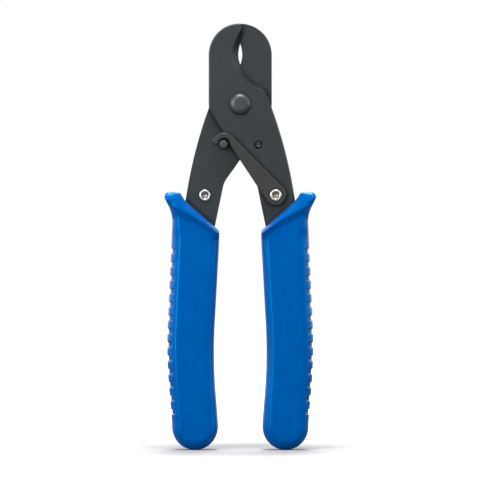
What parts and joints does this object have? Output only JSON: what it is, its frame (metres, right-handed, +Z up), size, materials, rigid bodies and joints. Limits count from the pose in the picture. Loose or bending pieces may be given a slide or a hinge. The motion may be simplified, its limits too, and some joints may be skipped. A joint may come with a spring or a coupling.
{
  "type": "cable cutter",
  "caption": "Compact hand cable cutter with curved bevelled shear blades, a hooked latch, riveted pivot and ribbed moulded grips, closed and latched.",
  "frame": {"origin": "bottom centre of the bounding box, between the ends of the two grips", "axes": "+Z up along the tool from the grips to the jaw tips, -Y the front with the latch, +X to the right seen from the front"},
  "size_m": [0.059, 0.0138, 0.165],
  "materials": {
    "front_blade_steel": "blackened, satin",
    "rear_blade_steel": "blackened, satin",
    "pivot_rivet_steel": "blackened, turned rim",
    "pivot_washer_steel": "blackened",
    "spring_wire": "drawn wire",
    "latch_steel": "blackened, satin",
    "latch_rivet_nickel": "nickel plated",
    "latch_washer_steel": "blackened",
    "latch_pin_steel": "blackened",
    "stop_pin_steel": "blackened",
    "tang_rivet_nickel": "nickel plated",
    "left_grip_plastic": "satin moulded vinyl",
    "right_grip_plastic": "satin moulded vinyl"
  },
  "bodies": {
    "right_handle": {"front_blade": "front_blade_steel", "right_grip": "right_grip_plastic", "stop_pin": "stop_pin_steel", "return_spring": "spring_wire", "pivot_rivet": "pivot_rivet_steel", "pivot_washer": "pivot_washer_steel", "latch_rivet": "latch_rivet_nickel", "latch_washer": "latch_washer_steel"},
    "left_handle": {"rear_blade": "rear_blade_steel", "left_grip": "left_grip_plastic", "latch_pin": "latch_pin_steel", "tang_rivet": "tang_rivet_nickel"},
    "latch": {"latch": "latch_steel"}
  },
  "joints": [
    {"name": "handle_open", "type": "hinge", "parent": "right_handle", "child": "left_handle", "pos_m": [0, 0, 0.1337], "axis": [0, 1, 0], "range_deg": [0, 26], "deforming": ["return_spring"]},
    {"name": "latch_swing", "type": "hinge", "parent": "right_handle", "child": "latch", "pos_m": [0.0137, 0, 0.0985], "axis": [0, 1, 0], "range_deg": [0, 91]}
  ],
  "couplings": [
    {"joint": "latch_swing", "follows": "handle_open", "ratio": 3.5}
  ]
}
